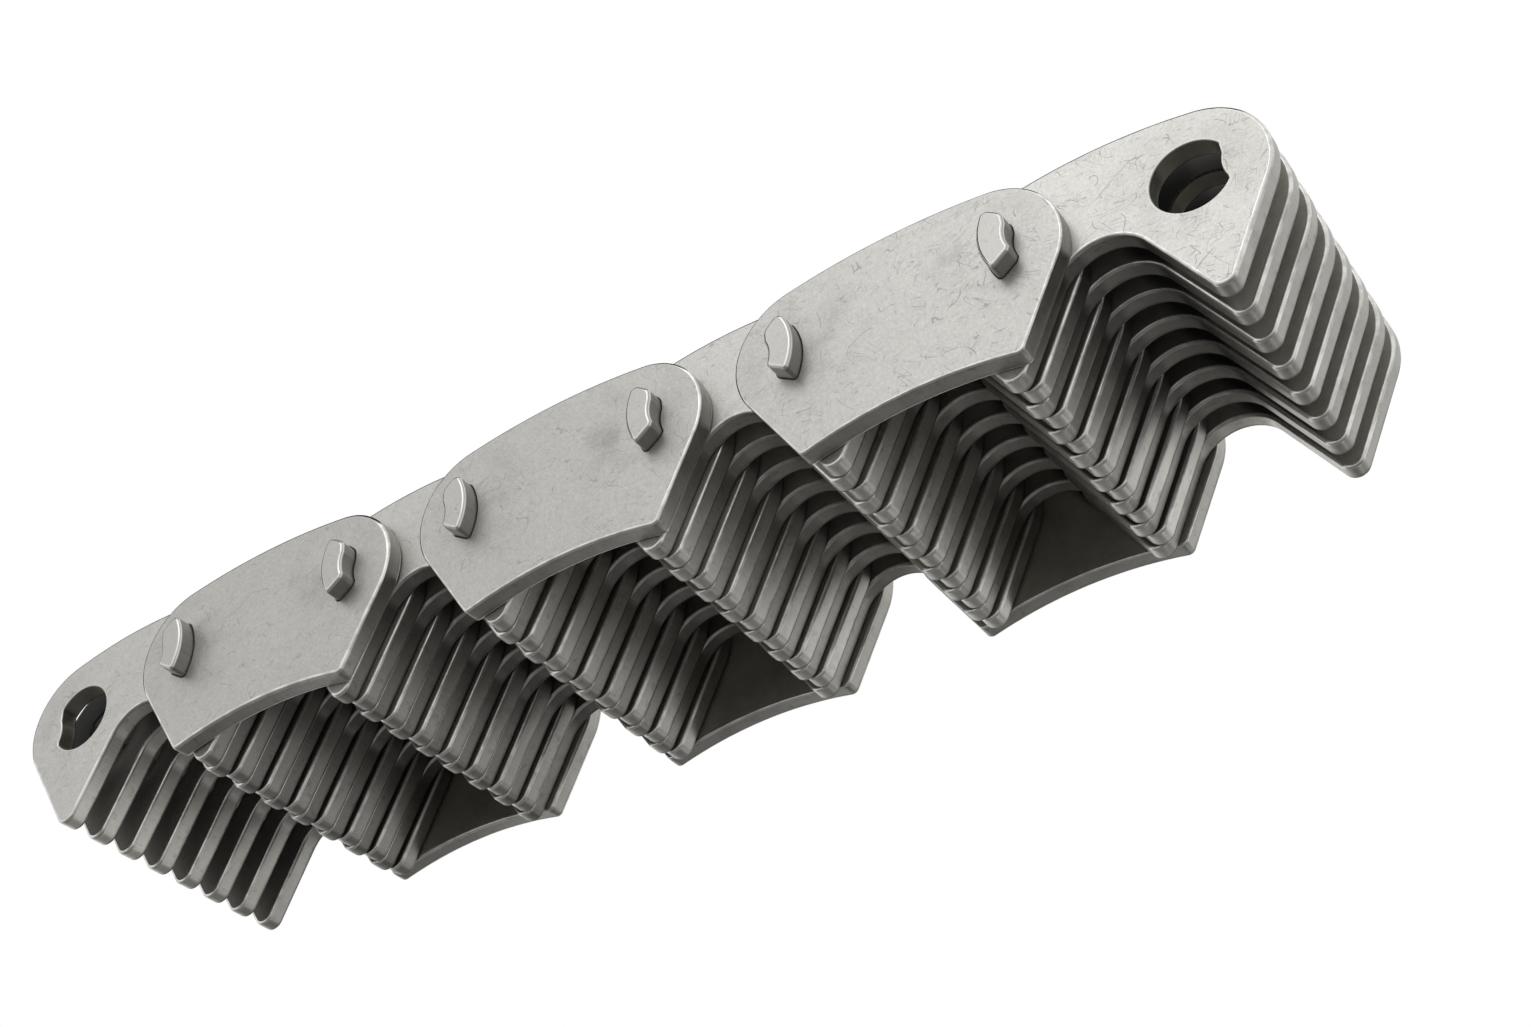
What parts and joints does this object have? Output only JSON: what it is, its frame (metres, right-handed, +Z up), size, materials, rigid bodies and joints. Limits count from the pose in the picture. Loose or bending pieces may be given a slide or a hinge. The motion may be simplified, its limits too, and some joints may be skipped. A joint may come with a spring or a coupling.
{
  "type": "silent chain",
  "caption": "Straight length of silent chain: laced rows of toothed steel plates with guide plates at both sides, joined by pairs of rocker pins, with an open aperture at each end.",
  "frame": {"origin": "under the middle of the chain, at the height of the toe tips", "axes": "+X along the chain, +Y across its width, +Z up, away from the teeth"},
  "size_m": [0.1978, 0.054, 0.0289],
  "materials": {
    "toothed_plate_steel": "satin, tumbled",
    "guide_plate_steel": "satin, tumbled",
    "pin_steel": "satin, hardened"
  },
  "bodies": {
    "drive_row_1": {"drive_row_1_plate_1": "toothed_plate_steel", "drive_row_1_plate_2": "toothed_plate_steel", "drive_row_1_plate_3": "toothed_plate_steel", "drive_row_1_plate_4": "toothed_plate_steel", "drive_row_1_plate_5": "toothed_plate_steel", "drive_row_1_plate_6": "toothed_plate_steel", "drive_row_1_plate_7": "toothed_plate_steel", "drive_row_1_plate_8": "toothed_plate_steel", "drive_row_1_right_pin": "pin_steel"},
    "guide_row_1": {"guide_row_1_inner_plates": "toothed_plate_steel", "guide_row_1_near_guide_plate": "guide_plate_steel", "guide_row_1_far_guide_plate": "guide_plate_steel", "guide_row_1_left_pin": "pin_steel", "guide_row_1_right_pin": "pin_steel"},
    "drive_row_2": {"drive_row_2_plate_1": "toothed_plate_steel", "drive_row_2_plate_2": "toothed_plate_steel", "drive_row_2_plate_3": "toothed_plate_steel", "drive_row_2_plate_4": "toothed_plate_steel", "drive_row_2_plate_5": "toothed_plate_steel", "drive_row_2_plate_6": "toothed_plate_steel", "drive_row_2_plate_7": "toothed_plate_steel", "drive_row_2_plate_8": "toothed_plate_steel", "drive_row_2_left_pin": "pin_steel", "drive_row_2_right_pin": "pin_steel"},
    "guide_row_2": {"guide_row_2_inner_plates": "toothed_plate_steel", "guide_row_2_near_guide_plate": "guide_plate_steel", "guide_row_2_far_guide_plate": "guide_plate_steel", "guide_row_2_left_pin": "pin_steel", "guide_row_2_right_pin": "pin_steel"},
    "drive_row_3": {"drive_row_3_plate_1": "toothed_plate_steel", "drive_row_3_plate_2": "toothed_plate_steel", "drive_row_3_plate_3": "toothed_plate_steel", "drive_row_3_plate_4": "toothed_plate_steel", "drive_row_3_plate_5": "toothed_plate_steel", "drive_row_3_plate_6": "toothed_plate_steel", "drive_row_3_plate_7": "toothed_plate_steel", "drive_row_3_plate_8": "toothed_plate_steel", "drive_row_3_left_pin": "pin_steel", "drive_row_3_right_pin": "pin_steel"},
    "guide_row_3": {"guide_row_3_inner_plates": "toothed_plate_steel", "guide_row_3_near_guide_plate": "guide_plate_steel", "guide_row_3_far_guide_plate": "guide_plate_steel", "guide_row_3_left_pin": "pin_steel", "guide_row_3_right_pin": "pin_steel"},
    "drive_row_4": {"drive_row_4_plate_1": "toothed_plate_steel", "drive_row_4_plate_2": "toothed_plate_steel", "drive_row_4_plate_3": "toothed_plate_steel", "drive_row_4_plate_4": "toothed_plate_steel", "drive_row_4_plate_5": "toothed_plate_steel", "drive_row_4_plate_6": "toothed_plate_steel", "drive_row_4_plate_7": "toothed_plate_steel", "drive_row_4_plate_8": "toothed_plate_steel", "drive_row_4_left_pin": "pin_steel"}
  },
  "joints": [
    {"name": "rocker_joint_1", "type": "hinge", "parent": "guide_row_1", "child": "drive_row_1", "pos_m": [-0.0635, 0, 0.0174], "axis": [0, -1, 0], "range_deg": [-10, 22]},
    {"name": "rocker_joint_2", "type": "hinge", "parent": "drive_row_2", "child": "guide_row_1", "pos_m": [-0.0381, 0, 0.0174], "axis": [0, -1, 0], "range_deg": [-10, 22]},
    {"name": "rocker_joint_3", "type": "hinge", "parent": "guide_row_2", "child": "drive_row_2", "pos_m": [-0.0127, 0, 0.0174], "axis": [0, -1, 0], "range_deg": [-10, 22]},
    {"name": "rocker_joint_4", "type": "hinge", "parent": "guide_row_2", "child": "drive_row_3", "pos_m": [0.0127, 0, 0.0174], "axis": [0, 1, 0], "range_deg": [-10, 22]},
    {"name": "rocker_joint_5", "type": "hinge", "parent": "drive_row_3", "child": "guide_row_3", "pos_m": [0.0381, 0, 0.0174], "axis": [0, 1, 0], "range_deg": [-10, 22]},
    {"name": "rocker_joint_6", "type": "hinge", "parent": "guide_row_3", "child": "drive_row_4", "pos_m": [0.0635, 0, 0.0174], "axis": [0, 1, 0], "range_deg": [-10, 22]}
  ]
}
